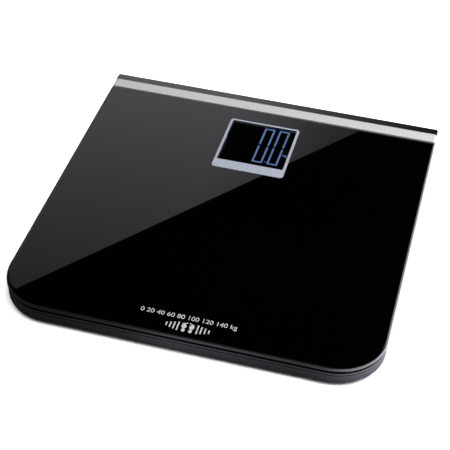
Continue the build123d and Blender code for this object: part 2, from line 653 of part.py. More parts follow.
for place, (side, end) in FOOT_PLACES.items():
    centre = (side * FOOT_X, end * FOOT_Y)
    with BuildPart() as load_cell:
        with BuildSketch(Plane.XY.offset(CELL_BOTTOM)):
            with Locations(centre):
                RectangleRounded(CELL, CELL, 4)
                Circle(PIN_D / 2 + 0.3, mode=Mode.SUBTRACT)
            # U-shaped slot that frees the middle tongue, joined on the side towards the centre
            with Locations((centre[0], centre[1] + end * 1.5)):
                Rectangle(SLOT_W, TONGUE_L, mode=Mode.SUBTRACT)
                Rectangle(TONGUE_W, TONGUE_L)
            with Locations((centre[0], centre[1] + end * 11.5)):
                Rectangle(SLOT_W, 3, mode=Mode.SUBTRACT)
            with Locations(centre):
                Circle(PIN_D / 2 + 0.3, mode=Mode.SUBTRACT)
        extrude(amount=CELL_TOP - CELL_BOTTOM)
    load_cell.part.label = f"load_cell_{place}"
    export_step(load_cell.part, f"parts/load_cell_{place}.step")

    with BuildPart() as foot:
        with BuildSketch(Plane.XY.offset(FOOT_RIM)):
            with Locations(centre):
                Circle(FOOT_D / 2)
        extrude(amount=FOOT_TOP - FOOT_RIM)
        fillet(foot.faces().sort_by(Axis.Z)[-1].edges(), 0.8)
        with BuildSketch(Plane.XY.offset(FOOT_RIM)):
            with Locations(centre):
                Circle(FOOT_PAD_D / 2 + 0.2)
        extrude(amount=PAD_TOP - FOOT_RIM, mode=Mode.SUBTRACT)
        with BuildSketch(Plane.XY.offset(FOOT_TOP)):
            with Locations(centre):
                Circle(4.5)
        extrude(amount=CELL_BOTTOM - FOOT_TOP)
        with BuildSketch(Plane.XY.offset(CELL_BOTTOM)):
            with Locations(centre):
                Circle(PIN_D / 2)
        extrude(amount=PIN_LENGTH)
        with BuildSketch(Plane.XY.offset(CELL_TOP + 0.2)):
            with Locations(centre):
                Circle(2.4)
        extrude(amount=0.8, taper=20)
    foot.part.label = f"foot_{place}"
    export_step(foot.part, f"parts/foot_{place}.step")

    with BuildPart() as foot_pad:
        with BuildSketch(Plane.XY):
            with Locations(centre):
                Circle(FOOT_PAD_D / 2)
        extrude(amount=PAD_TOP)
        with BuildSketch(Plane.XY):
            with Locations(centre):
                Circle(10.5)
                Circle(9.7, mode=Mode.SUBTRACT)
                Circle(6.5)
                Circle(5.7, mode=Mode.SUBTRACT)
        extrude(amount=0.4, mode=Mode.SUBTRACT)
        chamfer(foot_pad.faces().sort_by(Axis.Z)[0].outer_wire().edges(), 0.4)
    foot_pad.part.label = f"foot_pad_{place}"
    export_step(foot_pad.part, f"parts/foot_pad_{place}.step")

# A foil gauge under a bead of silicone on the bridge of each load cell
with BuildPart() as strain_gauges:
    with BuildSketch(Plane.XY.offset(CELL_TOP)):
        for place, (side, end) in FOOT_PLACES.items():
            with Locations((side * FOOT_X, end * (FOOT_Y - GAUGE_Y - 1))):
                RectangleRounded(9, 5, 1.5)
    extrude(amount=1.2)
    fillet(strain_gauges.faces().group_by(Axis.Z)[-1].edges(), 0.5)
strain_gauges.part.label = "strain_gauges"
export_step(strain_gauges.part, "parts/strain_gauges.step")


# ---------------------------------------------------------------- batteries and contacts
TIP_X = BAY_L / 2 - CONTACT - BUMP          # where the positive end of a cell touches its bump
SPRING_FREE = BAY_L / 2 - CONTACT + TIP_X - AAA_LENGTH
NUB = 0.8

for number, (row, turn) in enumerate([(-1, 1), (0, -1), (1, 1)], start=1):
    axle = Plane(origin=(turn * TIP_X, BATTERY_Y + row * AAA_PITCH, AAA_Z), z_dir=(-turn, 0, 0))
    with BuildPart() as battery_cell:
        with BuildSketch(axle):
            Circle(1.9)
        extrude(amount=NUB)
        with BuildSketch(axle.offset(NUB)):
            Circle(AAA_D / 2)
        extrude(amount=AAA_LENGTH - NUB)
        rims = battery_cell.edges().filter_by(GeomType.CIRCLE).filter_by(lambda e: e.radius > 4)
        fillet(rims, 0.5)
    battery_cell.part.label = f"battery_cell_{number}"
    export_step(battery_cell.part, f"parts/battery_cell_{number}.step")

# Contact plates: two single terminals and two that link neighbouring cells
with BuildPart() as battery_contacts:
    for end, first, last in ((1, -1, -1), (1, 0, 1), (-1, -1, 0), (-1, 1, 1)):
        middle = (first + last) / 2
        breadth = (last - first) * AAA_PITCH + 9.5
        plate = Plane(
            origin=(end * BAY_L / 2, BATTERY_Y + middle * AAA_PITCH, AAA_Z + 0.4), z_dir=(-end, 0, 0),
            x_dir=(0, 1, 0),
        )
        with BuildSketch(plate):
            Rectangle(breadth, 9)
        extrude(amount=CONTACT)
    for end, row in ((1, -1), (-1, 0), (1, 1)):
        bump = Plane(
            origin=(end * (BAY_L / 2 - CONTACT), BATTERY_Y + row * AAA_PITCH, AAA_Z), z_dir=(-end, 0, 0)
        )
        with BuildSketch(bump):
            Circle(2.4)
        extrude(amount=BUMP, taper=30)
battery_contacts.part.label = "battery_contacts"
export_step(battery_contacts.part, "parts/battery_contacts.step")

# Conical springs that press on the negative ends
with BuildPart() as battery_springs:
    for end, row in ((-1, -1), (1, 0), (-1, 1)):
        with BuildPart(mode=Mode.PRIVATE) as coil:
            with BuildLine() as turns:
                Helix(
                    pitch=(SPRING_FREE - 0.9) / 3,
                    height=SPRING_FREE - 0.9,
                    radius=3.6,
                    center=(end * (BAY_L / 2 - CONTACT - 0.45), BATTERY_Y + row * AAA_PITCH, AAA_Z),
                    direction=(-end, 0, 0),
                    cone_angle=-12,
                )
            with BuildSketch(Plane(origin=turns.line @ 0, z_dir=turns.line % 0)):
                Circle(0.35)
            sweep(path=turns.line, is_frenet=True)
        add(coil.part)
battery_springs.part.label = "battery_springs"
export_step(battery_springs.part, "parts/battery_springs.step")


# ---------------------------------------------------------------- battery door and its latch
DOOR_FRONT = BAY_FRONT + GAP
DOOR_REAR = BAY_REAR - GAP
HOOK_BOTTOM = BASE_FLOOR + 0.15

with BuildPart() as battery_door:
    with BuildSketch(Plane.XY.offset(BASE_BOTTOM)):
        with Locations((0, BATTERY_Y)):
            RectangleRounded(BAY_L - 2 * GAP, BAY_W - 2 * GAP, 0.6)
    extrude(amount=DOOR)
    # Grip ridges near the latch
    with BuildSketch(Plane.XY.offset(BASE_BOTTOM)):
        with Locations((0, DOOR_REAR - 6)):
            with GridLocations(0, 2, 1, 4):
                SlotOverall(18, 0.9)
    extrude(amount=0.4, mode=Mode.SUBTRACT)
    # Hooks that reach through the slots in the front of the bay
    with BuildSketch(Plane.XY.offset(BASE_BOTTOM + DOOR)):
        with Locations((-HOOK_X, DOOR_FRONT + 0.6), (HOOK_X, DOOR_FRONT + 0.6)):
            Rectangle(HOOK_W, 1.2)
    extrude(amount=HOOK_BOTTOM + 1.0 - BASE_BOTTOM - DOOR)
    with BuildSketch(Plane.XY.offset(HOOK_BOTTOM)):
        with Locations((-HOOK_X, DOOR_FRONT - 0.2), (HOOK_X, DOOR_FRONT - 0.2)):
            Rectangle(HOOK_W, 2.8)
    extrude(amount=1.0)
battery_door.part.label = "battery_door"
export_step(battery_door.part, "parts/battery_door.step")

# Springy catch on the door: a finger with a nose that snaps over the edge of the base
with BuildPart() as battery_door_latch:
    with BuildSketch(Plane.XY.offset(BASE_BOTTOM + DOOR)):
        with Locations((0, DOOR_REAR - 0.7)):
            Rectangle(9, 1.0)
    extrude(amount=1.9)
    with BuildSketch(Plane.XY.offset(BASE_FLOOR + 0.15)):
        with Locations((0, DOOR_REAR + 0.35)):
            Rectangle(9, 1.3)
    extrude(amount=0.8)
battery_door_latch.part.label = "battery_door_latch"
export_step(battery_door_latch.part, "parts/battery_door_latch.step")


# ---------------------------------------------------------------- cover screws
with BuildPart() as cover_screws:
    add(screws(COVER_SCREWS, SCREW_SEAT, head_d=5.2, head_h=1.9, shank_d=2.4, shank_l=7.0))
cover_screws.part.label = "cover_screws"
export_step(cover_screws.part, "parts/cover_screws.step")


# ---------------------------------------------------------------- wiring
# Routes on the left side, from a load cell to the circuit board; the right side mirrors them.
# Three strands lie side by side, stepped across the run of the route.
CELL_EXIT = FOOT_Y - GAUGE_Y - 1 - 2.5
FRONT_ROUTE = [
    (-112, -CELL_EXIT), (-112, -78), (-97, -42), (-84, -5), (-66, 30), (-54, 60), (-39, 68), (-31, 68)
]
REAR_ROUTE = [(-112, CELL_EXIT), (-112, 91), (-98, 81), (-76, 78), (-56, 80), (-39, 80)]


def strand_route(route, side, end, shift):
    """One strand's points: the first stays on the bead's face, the others step both ways."""
    points = [(-side * (x + shift), y + end * shift, WIRE_Z) for x, y in route]
    first_x, first_y = route[0]
    points[0] = (-side * (first_x + shift), first_y, WIRE_Z)
    return points


SOLDER = 1.1
solder_spots = []
for place, (side, end) in FOOT_PLACES.items():
    route = FRONT_ROUTE if end < 0 else REAR_ROUTE
    with BuildPart() as leads:
        for strand in (-1, 0, 1):
            points = strand_route(route, side, end, strand * WIRE_STEP)
            add(wire(points))
            solder_spots.append((points[-1][0] - side * SOLDER / 2, points[-1][1]))
    leads.part.label = f"load_cell_leads_{place}"
    export_step(leads.part, f"parts/load_cell_leads_{place}.step")

BATTERY_ROUTES = [
    [(BAY_L / 2, -51.2), (34, -51.2), (45, -40), (47, -14), (39, 18), (28, 40), (20, 57)],
    [(-BAY_L / 2, -28.8), (-34, -28.8), (-43, -18), (-42, 6), (-32, 30), (-19, 45), (-12, 57)],
]
with BuildPart() as battery_leads:
    for route in BATTERY_ROUTES:
        add(wire([(x, y, WIRE_Z) for x, y in route]))
        solder_spots.append((route[-1][0], route[-1][1] + 0.8))
battery_leads.part.label = "battery_leads"
export_step(battery_leads.part, "parts/battery_leads.step")

with BuildPart() as solder_joints:
    with BuildSketch(Plane.XY.offset(BOARD_BOTTOM)):
        with Locations(*solder_spots):
            Rectangle(SOLDER, SOLDER)
    extrude(amount=-0.9)
solder_joints.part.label = "solder_joints"
export_step(solder_joints.part, "parts/solder_joints.step")
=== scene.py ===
import json
import math

import bpy
from mathutils import Matrix, Vector


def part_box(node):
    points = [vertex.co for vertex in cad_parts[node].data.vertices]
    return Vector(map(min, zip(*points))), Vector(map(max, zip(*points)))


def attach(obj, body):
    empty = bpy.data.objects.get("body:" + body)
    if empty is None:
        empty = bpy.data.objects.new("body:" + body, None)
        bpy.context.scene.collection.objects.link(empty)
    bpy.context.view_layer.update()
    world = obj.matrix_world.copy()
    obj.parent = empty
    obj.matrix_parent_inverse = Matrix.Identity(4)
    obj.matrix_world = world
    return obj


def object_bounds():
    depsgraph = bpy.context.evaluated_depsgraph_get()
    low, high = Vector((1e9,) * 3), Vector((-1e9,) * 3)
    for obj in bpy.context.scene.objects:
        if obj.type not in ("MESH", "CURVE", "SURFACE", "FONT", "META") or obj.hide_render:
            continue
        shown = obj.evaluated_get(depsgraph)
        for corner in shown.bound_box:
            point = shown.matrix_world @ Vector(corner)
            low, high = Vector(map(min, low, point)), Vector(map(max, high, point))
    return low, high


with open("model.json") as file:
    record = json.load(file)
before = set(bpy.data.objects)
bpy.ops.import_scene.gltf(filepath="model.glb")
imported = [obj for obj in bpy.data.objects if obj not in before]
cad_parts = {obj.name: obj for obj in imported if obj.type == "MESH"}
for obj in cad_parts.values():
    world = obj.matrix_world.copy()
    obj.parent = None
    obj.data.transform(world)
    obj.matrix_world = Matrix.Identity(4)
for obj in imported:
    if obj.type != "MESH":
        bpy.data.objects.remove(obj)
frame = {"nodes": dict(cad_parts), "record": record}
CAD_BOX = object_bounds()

MM = 0.001
SIDE = "housing"                    # the body that carries every piece made here
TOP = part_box("glass_platform")[1].z


# ---------------------------------------------------------------- node-tree helpers
def add_node(tree, kind, **settings):
    node = tree.nodes.new(kind)
    for key, value in settings.items():
        setattr(node, key, value)
    return node


def feed(tree, source, socket):
    """Link another socket to this one, or set it to a plain value."""
    if isinstance(source, bpy.types.NodeSocket):
        tree.links.new(source, socket)
    else:
        socket.default_value = source


def map_range(tree, source, start, stop, first, last, curve="LINEAR"):
    """Turn the range from start to stop into the range from first to last."""
    node = add_node(tree, "ShaderNodeMapRange", interpolation_type=curve)
    sockets = ("Value", "From Min", "From Max", "To Min", "To Max")
    for key, value in zip(sockets, (source, start, stop, first, last)):
        feed(tree, value, node.inputs[key])
    return node.outputs["Result"]


def calculate(tree, operation, first, second):
    node = add_node(tree, "ShaderNodeMath", operation=operation)
    feed(tree, first, node.inputs[0])
    feed(tree, second, node.inputs[1])
    return node.outputs["Value"]


def axes_of(tree, vector):
    """The X, Y and Z outputs of a vector."""
    node = add_node(tree, "ShaderNodeSeparateXYZ")
    feed(tree, vector, node.inputs["Vector"])
    return node.outputs


def place_of(tree, kind="Object"):
    return add_node(tree, "ShaderNodeTexCoord").outputs[kind]


class Look:
    """A material with a principled shader, and short calls for what this scene varies on it."""

    def __init__(self, name, **values):
        self.material = bpy.data.materials.new(name)
        self.material.use_nodes = True
        self.tree = self.material.node_tree
        self.shader = self.tree.nodes["Principled BSDF"]
        for key, value in values.items():
            self.shader.inputs[key.replace("_", " ")].default_value = value

    def noise(self, scale, detail=3.0, stretch=(1, 1, 1)):
        """Noise with about scale features to a metre."""
        mapping = add_node(self.tree, "ShaderNodeMapping")
        feed(self.tree, stretch, mapping.inputs["Scale"])
        feed(self.tree, place_of(self.tree), mapping.inputs["Vector"])
        noise = add_node(self.tree, "ShaderNodeTexNoise")
        feed(self.tree, scale, noise.inputs["Scale"])
        feed(self.tree, detail, noise.inputs["Detail"])
        feed(self.tree, mapping.outputs["Vector"], noise.inputs["Vector"])
        return noise.outputs["Fac"]

    def vary_color(self, factor, first, second, socket="Base Color"):
        node = add_node(self.tree, "ShaderNodeMix", data_type="RGBA")
        feed(self.tree, factor, node.inputs["Factor"])
        feed(self.tree, (*first, 1), node.inputs["A"])
        feed(self.tree, (*second, 1), node.inputs["B"])
        feed(self.tree, node.outputs["Result"], self.shader.inputs[socket])

    def vary_roughness(self, factor, low, high):
        """Noise seldom leaves the middle of its range, so that part is spread over low to high."""
        feed(self.tree, map_range(self.tree, factor, 0.3, 0.7, low, high), self.shader.inputs["Roughness"])

    def bump(self, height, distance, strength):
        node = add_node(self.tree, "ShaderNodeBump")
        feed(self.tree, strength, node.inputs["Strength"])
        feed(self.tree, distance, node.inputs["Distance"])
        feed(self.tree, height, node.inputs["Height"])
        feed(self.tree, node.outputs["Normal"], self.shader.inputs["Normal"])


def moulded(name, dark, light, rough=(0.38, 0.5), grain=2600, depth=0.02 * MM, level=0.5):
    """Moulded plastic: a fine spark-eroded grain and slow changes of sheen."""
    look = Look(name, Specular_IOR_Level=level)
    look.vary_color(look.noise(60, 4), dark, light)
    look.vary_roughness(look.noise(35, 2), *rough)
    look.bump(look.noise(grain, 2), depth, 0.4)
    return look.material


def metal(name, dark, light, rough, metallic=1.0, grain=400, stretch=(1, 1, 1)):
    """Bare or plated metal, with a grain that can be stretched into brush marks."""
    look = Look(name, Metallic=metallic)
    look.vary_color(look.noise(grain, 3, stretch), dark, light)
    look.vary_roughness(look.noise(grain * 0.4, 2, stretch), *rough)
    look.bump(look.noise(grain * 3, 2, stretch), 0.01 * MM, 0.3)
    return look.material


def grey(value):
    return (value, value, value)


# ---------------------------------------------------------------- materials of the object
GROUND_RIM, POLISHED_TOP = 0.34, 0.012      # roughness of the glass
RIM_UPWARD, TOP_UPWARD = 0.5, 0.995         # upward part of its normal, where each one starts


def black_glass():
    """Tempered glass over a black print: polished on top, ground to a satin along its rim."""
    look = Look("black_glass", IOR=1.52, Specular_IOR_Level=0.5)
    look.vary_color(look.noise(8, 2), grey(0.0001), grey(0.0002))
    normal = axes_of(look.tree, add_node(look.tree, "ShaderNodeNewGeometry").outputs["Normal"])
    finish = map_range(look.tree, normal["Z"], RIM_UPWARD, TOP_UPWARD, GROUND_RIM, POLISHED_TOP)
    feed(look.tree, finish, look.shader.inputs["Roughness"])
    look.bump(look.noise(5, 1), 0.1 * MM, 0.004)
    return look.material


def silver_paint(name, dark, light):
    """Silver lacquer: fine flakes under a satin surface."""
    look = Look(name, Metallic=0.3, Specular_IOR_Level=0.3)
    look.vary_color(look.noise(4200, 2), dark, light)
    look.vary_roughness(look.noise(30, 2), 0.42, 0.5)
    look.bump(look.noise(5200, 1), 0.006 * MM, 0.25)
    return look.material


def smoked_lens():
    """Display window with an anti-glare coating, which hardly mirrors its surroundings."""
    look = Look("smoked_lens", Base_Color=(0.45, 0.46, 0.5, 1), Transmission_Weight=1.0, IOR=1.015,
                Roughness=0.02, Specular_IOR_Level=0.1)
    look.bump(look.noise(900, 2), 0.002 * MM, 0.05)
    return look.material


def lcd_face():
    """Liquid-crystal panel, black where nothing is lit."""
    look = Look("lcd_black", Roughness=0.5, Specular_IOR_Level=0.0)
    look.vary_color(look.noise(40, 2), (0.0003, 0.0004, 0.0006), (0.0005, 0.0006, 0.0009))
    return look.material


def lit_segment():
    """Blue backlight seen through a numeral's segment, a little uneven."""
    look = Look("lit_segment", Base_Color=(0.01, 0.02, 0.05, 1), Roughness=0.5, Emission_Strength=3.2)
    look.vary_color(look.noise(220, 2), (0.047, 0.088, 0.17), (0.066, 0.118, 0.21), "Emission Color")
    return look.material


def printed_ink(name, value):
    """Grey ink that covers a little unevenly."""
    look = Look(name, Roughness=0.35)
    look.vary_color(look.noise(1500, 3), grey(value * 0.92), grey(value))
    return look.material


def circuit_board():
    """Green solder mask over a grid of tracks."""
    look = Look("circuit_board", Coat_Weight=0.3, Coat_Roughness=0.15)
    tracks = add_node(look.tree, "ShaderNodeTexBrick", offset=0.5)
    feed(look.tree, place_of(look.tree), tracks.inputs["Vector"])
    feed(look.tree, 260, tracks.inputs["Scale"])
    shade = map_range(look.tree, tracks.outputs["Fac"], 0, 1, 0.3, 1)
    look.vary_color(shade, (0.01, 0.09, 0.035), (0.02, 0.17, 0.06))
    look.vary_roughness(look.noise(90), 0.3, 0.45)
    return look.material


MATERIALS = {
    "black_abs": moulded("black_abs", grey(0.0030), grey(0.0045), rough=(0.30, 0.38)),
    "black_glass": black_glass(),
    "black_print": moulded("black_print", grey(0.002), grey(0.004), rough=(0.2, 0.3)),
    "foam_tape": moulded("foam_tape", grey(0.03), grey(0.06), rough=(0.8, 0.95), grain=1800, depth=0.1 * MM),
    "silver_trim": silver_paint("silver_trim", grey(0.255), grey(0.30)),
    "gloss_black": moulded(
        "gloss_black", (0.0026, 0.0025, 0.0032), (0.0038, 0.0036, 0.0045),
        rough=(0.10, 0.15), grain=900, depth=0.004 * MM, level=0.85,
    ),
    "silver_bezel": silver_paint("silver_bezel", (0.178, 0.192, 0.228), (0.21, 0.226, 0.264)),
    "smoked_lens": smoked_lens(),
    "lcd_black": lcd_face(),
    "light_guide": moulded("light_guide", (0.7, 0.78, 0.86), (0.78, 0.86, 0.92), rough=(0.3, 0.4)),
    "led_bar": moulded("led_bar", (0.8, 0.8, 0.66), (0.86, 0.86, 0.74)),
    "zebra_rubber": moulded("zebra_rubber", (0.42, 0.22, 0.24), (0.55, 0.3, 0.32), rough=(0.7, 0.85)),
    "white_abs": moulded("white_abs", grey(0.66), grey(0.72)),
    "circuit_board": circuit_board(),
    "chip_black": moulded("chip_black", grey(0.012), grey(0.02), rough=(0.5, 0.7)),
    "switch_black": moulded("switch_black", grey(0.015), grey(0.025)),
    "grey_button": moulded("grey_button", grey(0.2), grey(0.24), rough=(0.45, 0.55)),
    "silicone_white": moulded(
        "silicone_white", grey(0.62), grey(0.72), rough=(0.35, 0.5), grain=500, depth=0.08 * MM
    ),
    "nickel": metal("nickel", (0.6, 0.59, 0.56), (0.7, 0.69, 0.66), rough=(0.18, 0.3)),
    "zinc_steel": metal("zinc_steel", (0.42, 0.43, 0.45), (0.55, 0.56, 0.58), rough=(0.28, 0.42)),
    "cell_steel": metal(
        "cell_steel", grey(0.36), grey(0.46), rough=(0.3, 0.45), grain=300, stretch=(1, 14, 1)
    ),
    "foot_plastic": moulded("foot_plastic", grey(0.016), grey(0.022)),
    "foot_rubber": moulded(
        "foot_rubber", grey(0.02), grey(0.035), rough=(0.75, 0.9), grain=1500, depth=0.06 * MM
    ),
    "battery_jacket": metal(
        "battery_jacket", (0.05, 0.07, 0.16), (0.08, 0.1, 0.2), rough=(0.25, 0.35), metallic=0.4
    ),
    "wire_red": moulded("wire_red", (0.4, 0.01, 0.01), (0.55, 0.02, 0.02)),
    "wire_white": moulded("wire_white", grey(0.6), grey(0.7)),
    "solder": metal("solder", grey(0.5), grey(0.62), rough=(0.2, 0.35)),
}


def dress_cad_nodes():
    """Each carried-over CAD node takes the material of its slot in the record."""
    slot_of = {s["node"]: s["material_slot"] for s in frame["record"]["subparts"]}
    for name, node in frame["nodes"].items():
        node.data.materials.clear()
        node.data.materials.append(MATERIALS[slot_of[name]])


dress_cad_nodes()


# ---------------------------------------------------------------- pieces made here
def make_mesh(name, vertices, faces, material, slot, body=SIDE):
    mesh = bpy.data.meshes.new(name)
    mesh.from_pydata(vertices, [], faces)
    mesh.materials.append(material)
    mesh.validate()
    piece = bpy.data.objects.new(name, mesh)
    bpy.context.scene.collection.objects.link(piece)
    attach(piece, body)


def plate(outlines, low, high):
    """Vertices and faces of thin plates, one closed prism for each outline of (x, y) points."""
    vertices, faces = [], []
    for points in outlines:
        start, count = len(vertices), len(points)
        vertices += [(x, y, low) for x, y in points] + [(x, y, high) for x, y in points]
        faces.append([start + i for i in reversed(range(count))])
        faces.append([start + count + i for i in range(count)])
        for i in range(count):
            j = (i + 1) % count
            faces.append([start + i, start + j, start + count + j, start + count + i])
    return vertices, faces


# The display: two tall numerals with a point between them and a small unit mark, placed from
# the middle of the liquid-crystal panel
LCD_LOW, LCD_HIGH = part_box("lcd_panel")
LCD_MIDDLE = (LCD_LOW + LCD_HIGH) / 2
STROKE = 1.6 * MM                   # width of a segment
DIGIT_W = 9.4 * MM
DIGIT_LOW = LCD_MIDDLE.y - 22.5 * MM
DIGIT_HIGH = LCD_MIDDLE.y + 26.9 * MM
DIGIT_WAIST = LCD_MIDDLE.y + 2.1 * MM
WAIST_GAP = 1.6 * MM
CUT_CORNER = 0.5 * MM
DIGIT_LEFTS = (0.5 * MM, 13.9 * MM)
SLANT = 1.0 * MM / (DIGIT_HIGH - DIGIT_LOW)
ROUND_STEPS, DOT_STEPS = 24, 12     # sides of a larger and of a small round shape
POINT_RADIUS = 0.6 * MM
POINT_SHIFT = Vector((1.7 * MM, 2.3 * MM))      # from the first numeral's lower right corner
UNIT_PLACE = (LCD_MIDDLE.x + 26.4 * MM, LCD_MIDDLE.y - 7.0 * MM)
UNIT_SIZE = 4.0 * MM
UNIT_BOLD = 0.1 * MM
INK = 0.03 * MM                     # thickness of a segment and of the printed ink


def half_numeral(left, shut, cut):
    """One half of a zero: a bar at y = shut, and two legs that end in points at y = cut."""
    way = 1 if cut > shut else -1
    right, half, corner = left + DIGIT_W, STROKE / 2, CUT_CORNER
    points = [
        (left, cut - way * half), (left, shut + way * corner), (left + corner, shut),
        (right - corner, shut), (right, shut + way * corner), (right, cut - way * half),
        (right - half, cut), (right - STROKE, cut - way * half), (right - STROKE, shut + way * STROKE),
        (left + STROKE, shut + way * STROKE), (left + STROKE, cut - way * half), (left + half, cut),
    ]
    return [(x + SLANT * (y - DIGIT_WAIST), y) for x, y in points][:: -way]


def make_numerals():
    outlines = []
    for left in DIGIT_LEFTS:
        outlines.append(half_numeral(left, DIGIT_LOW, DIGIT_WAIST - WAIST_GAP / 2))
        outlines.append(half_numeral(left, DIGIT_HIGH, DIGIT_WAIST + WAIST_GAP / 2))
    point = Vector((DIGIT_LEFTS[0] + DIGIT_W, DIGIT_LOW)) + POINT_SHIFT
    outlines.append(ring(point, POINT_RADIUS, POINT_RADIUS, DOT_STEPS))
    vertices, faces = plate(outlines, LCD_HIGH.z, LCD_HIGH.z + INK)
    make_mesh("display_numerals", vertices, faces, LIT, "lcd_black")


def ring(centre, across, along, count):
    """Points round an ellipse."""
    turns = [2 * math.pi * i / count for i in range(count)]
    return [(centre[0] + across * math.cos(t), centre[1] + along * math.sin(t)) for t in turns]


def lettering(name, words, size, centre, level, material, bold):
    """Flat printed lettering, turned into a mesh."""
    curve = bpy.data.curves.new(name, "FONT")
    curve.body = words
    curve.size = size
    curve.align_x = "CENTER"
    curve.align_y = "CENTER"
    curve.offset = bold
    curve.extrude = INK / 2
    text = bpy.data.objects.new(name, curve)
    bpy.context.scene.collection.objects.link(text)
    mesh = bpy.data.meshes.new_from_object(text)
    bpy.data.objects.remove(text)
    mesh.transform(Matrix.Translation((*centre, level + INK / 2)))
    mesh.materials.clear()
    mesh.materials.append(material)
    piece = bpy.data.objects.new(name, mesh)
    bpy.context.scene.collection.objects.link(piece)
    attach(piece, SIDE)


# The printed mark at the front: a pair of soles between two rows of graduation bars
MARK = Vector((3.4 * MM, -146.0 * MM))
SOLE_OFFSET = 3.0 * MM              # from the middle of the mark
BALL_SHIFT = 1.0 * MM
BALL_RADII = (1.9 * MM, 2.3 * MM)
HEEL_SHIFT = (0.2 * MM, 3.2 * MM)
HEEL_RADII = (1.4 * MM, 1.8 * MM)
TOE_COUNT = 5
TOE_PITCH = 0.85 * MM
# The big toe's place, and how far each next toe falls back
TOE_LINE, TOE_DROP = 4.4 * MM, 0.28 * MM
TOE_RADII, TOE_SHRINK = (0.52 * MM, 0.6 * MM), 0.05 * MM
BAR_COUNT = 4
BAR_OFFSET, BAR_PITCH = 7.6 * MM, 3.0 * MM
BAR_HALF_WIDTH = 0.55 * MM
BAR_HALF_HEIGHT, BAR_SHRINK = 4.6 * MM, 0.9 * MM


def sole(side):
    """A footprint seen from above, heel to the front: ball, heel and five toes."""
    x = MARK.x + side * SOLE_OFFSET
    heel = (x - side * HEEL_SHIFT[0], MARK.y - HEEL_SHIFT[1])
    ball = (x, MARK.y + BALL_SHIFT)
    outlines = [ring(ball, *BALL_RADII, ROUND_STEPS), ring(heel, *HEEL_RADII, ROUND_STEPS)]
    for toe in range(TOE_COUNT):
        place = (x + side * (toe - TOE_COUNT // 2) * TOE_PITCH, MARK.y + TOE_LINE - toe * TOE_DROP)
        across, along = (radius - toe * TOE_SHRINK for radius in TOE_RADII)
        outlines.append(ring(place, across, along, DOT_STEPS))
    return outlines


def graduation(side):
    """Upright bars, shorter towards the outside."""
    outlines = []
    for step in range(BAR_COUNT):
        x = MARK.x + side * (BAR_OFFSET + step * BAR_PITCH)
        wide, high = BAR_HALF_WIDTH, BAR_HALF_HEIGHT - step * BAR_SHRINK
        corners = ((-wide, -high), (wide, -high), (wide, high), (-wide, high))
        outlines.append([(x + across, MARK.y + along) for across, along in corners])
    return outlines


NUMBERS = "0 20 40 60 80 100 120 140 kg"
NUMBERS_PLACE = (1.5 * MM, -136.2 * MM)
NUMBERS_SIZE = 6.3 * MM
NUMBERS_BOLD = 0.02 * MM
INK_WHITE = printed_ink("printed_ink", 0.225)
LIT = lit_segment()
make_numerals()
lettering("unit_mark", "kg", UNIT_SIZE, UNIT_PLACE, LCD_HIGH.z, LIT, UNIT_BOLD)
lettering("weight_numbers", NUMBERS, NUMBERS_SIZE, NUMBERS_PLACE, TOP, INK_WHITE, NUMBERS_BOLD)
pictogram = sole(-1) + sole(1) + graduation(-1) + graduation(1)
make_mesh("pictogram_print", *plate(pictogram, TOP, TOP + INK), INK_WHITE, "silver_trim")


# ---------------------------------------------------------------- floor, light and camera
FLOOR_REACH = 1.5


def emitter(name, color, strength=1.0):
    """A glowing material, and the socket that its strength can be linked to."""
    material = bpy.data.materials.new(name)
    material.use_nodes = True
    tree = material.node_tree
    tree.nodes.clear()
    glow = add_node(tree, "ShaderNodeEmission")
    feed(tree, (*color, 1), glow.inputs["Color"])
    feed(tree, strength, glow.inputs["Strength"])
    feed(tree, glow.outputs["Emission"], add_node(tree, "ShaderNodeOutputMaterial").inputs["Surface"])
    return material, glow.inputs["Strength"]


def stage_plane(name, corners, material, faces=None):
    """One polygon through the corners, or the faces given."""
    mesh = bpy.data.meshes.new(name)
    mesh.from_pydata(corners, [], faces or [list(range(len(corners)))])
    mesh.materials.append(material)
    piece = bpy.data.objects.new(name, mesh)
    bpy.context.scene.collection.objects.link(piece)
    return piece


def make_floor():
    look = Look("pale_floor", Roughness=0.9, Specular_IOR_Level=0.0)
    look.vary_color(look.noise(3, 2), grey(0.86), grey(0.88))
    corners = [(x * FLOOR_REACH, y * FLOOR_REACH, 0) for x, y in ((-1, -1), (1, -1), (1, 1), (-1, 1))]
    stage_plane("floor", corners, look.material).visible_glossy = False


# What the sides of the scale mirror in place of the floor: a pale sweep whose brightness is painted light,
# dim beyond the left side and bright beyond the right side, as if lit by a lamp at the right. Each stop is
# (metres to the right of the middle, brightness).
SWEEP_LIGHT_STOPS = [
    (-0.17, 0.10), (-0.10, 0.15), (-0.05, 0.36), (-0.012, 1.0), (0.03, 0.8), (0.09, 0.48), (0.12, 1.1),
    (0.15, 3.0), (0.17, 4.2),
]
SWEEP_TINT = (1.0, 0.95, 1.12)
# Rings of the sweep, from under the scale's edge outwards: (reach past its outline, share of the
# brightness). The small shares under and near the edge are a painted contact shadow of the scale.
SWEEP_SHADE_RINGS = [(-4 * MM, 0.05), (4 * MM, 0.35), (20 * MM, 1.4), (3.0, 1.4)]
SWEEP_LEVEL = -0.5 * MM
CORNER_RADIUS = 40 * MM


def around_scale(reach, steps=8):
    """Points at the sweep's level round the footprint, with round corners and drawn out by reach."""
    half = (CAD_BOX[1] - CAD_BOX[0]) / 2
    radius = CORNER_RADIUS + reach
    points = []
    for quarter, (side, end) in enumerate(((1, 1), (-1, 1), (-1, -1), (1, -1))):
        for step in range(steps + 1):
            turn = math.pi / 2 * (quarter + step / steps)
            x = side * (half.x - CORNER_RADIUS) + radius * math.cos(turn)
            y = end * (half.y - CORNER_RADIUS) + radius * math.sin(turn)
            points.append((x, y, SWEEP_LEVEL))
    return points


